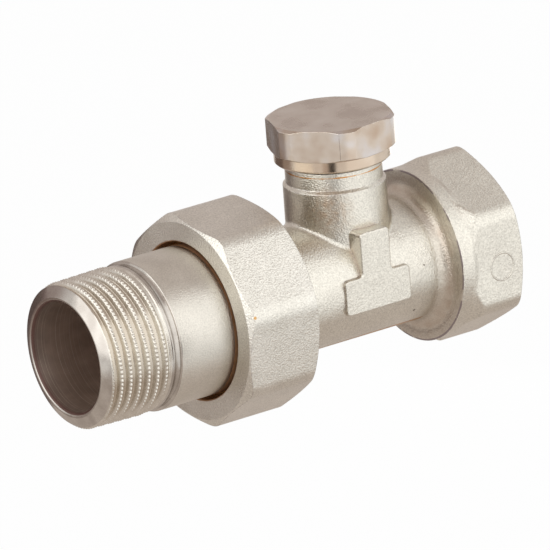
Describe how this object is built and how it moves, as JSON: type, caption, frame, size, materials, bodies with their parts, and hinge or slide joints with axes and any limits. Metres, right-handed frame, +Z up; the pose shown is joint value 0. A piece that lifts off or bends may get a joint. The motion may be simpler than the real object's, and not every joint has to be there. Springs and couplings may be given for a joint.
{
  "type": "lockshield radiator valve",
  "caption": "Straight lockshield valve for a radiator's return: a union tailpiece with a male thread, a union nut, a necked body with a screw cap and a hexagonal pipe socket.",
  "frame": {"origin": "on the pipe axis, at the first full thread of the pipe socket, 0.9 mm inside the socket's end face", "axes": "+X along the pipe axis and out of the socket, +Z up the neck to the cap, +Y to the side away from the tee-shaped pad"},
  "size_m": [0.0852, 0.0362, 0.0467],
  "materials": {
    "forged_nickel": "satin nickel plate over forged brass",
    "turned_nickel": "bright turned nickel plate",
    "cap_nickel": "polished nickel plate, warm tint",
    "bare_brass": "turned",
    "spring_steel": "blank",
    "seal_rubber": "matte",
    "gasket_fibre": "matte"
  },
  "bodies": {
    "body": {"valve_body": "forged_nickel", "bonnet": "bare_brass", "bonnet_oring": "seal_rubber", "travel_stop_ring": "spring_steel"},
    "tail": {"tailpiece": "turned_nickel", "union_gasket": "gasket_fibre"},
    "nut": {"union_nut": "forged_nickel"},
    "disc": {"closing_disc": "bare_brass", "disc_seal": "seal_rubber", "disc_washer": "bare_brass", "disc_screw": "spring_steel"},
    "spindle": {"spindle": "bare_brass", "spindle_oring_lower": "seal_rubber", "spindle_oring_upper": "seal_rubber"},
    "cap_seal": {"cap_gasket": "gasket_fibre"},
    "cap": {"cap": "cap_nickel"}
  },
  "joints": [
    {"name": "tail_slide", "type": "slide", "parent": "body", "child": "tail", "axis": [-1, 0, 0], "range_m": [0, 0.00637]},
    {"name": "nut_turn", "type": "hinge", "parent": "tail", "child": "nut", "pos_m": [-0.0515, 0, 0], "axis": [-1, 0, 0], "range_deg": [0, 1530.5]},
    {"name": "spindle_lift", "type": "slide", "parent": "body", "child": "disc", "axis": [0, 0, 1], "range_m": [0, 0.00375]},
    {"name": "spindle_turn", "type": "hinge", "parent": "disc", "child": "spindle", "pos_m": [-0.0267, 0, 0.01], "axis": [0, 0, 1], "range_deg": [0, 1350.5]},
    {"name": "cap_lift", "type": "slide", "parent": "body", "child": "cap_seal", "axis": [0, 0, 1], "range_m": [0, 0.00325]},
    {"name": "cap_turn", "type": "hinge", "parent": "cap_seal", "child": "cap", "pos_m": [-0.0267, 0, 0.025], "axis": [0, 0, 1], "range_deg": [0, 1170.5]}
  ],
  "couplings": [
    {"joint": "nut_turn", "follows": "tail_slide", "rad_per_m": 4188.8},
    {"joint": "spindle_turn", "follows": "spindle_lift", "rad_per_m": 6283.2},
    {"joint": "cap_turn", "follows": "cap_lift", "rad_per_m": 6283.2}
  ]
}
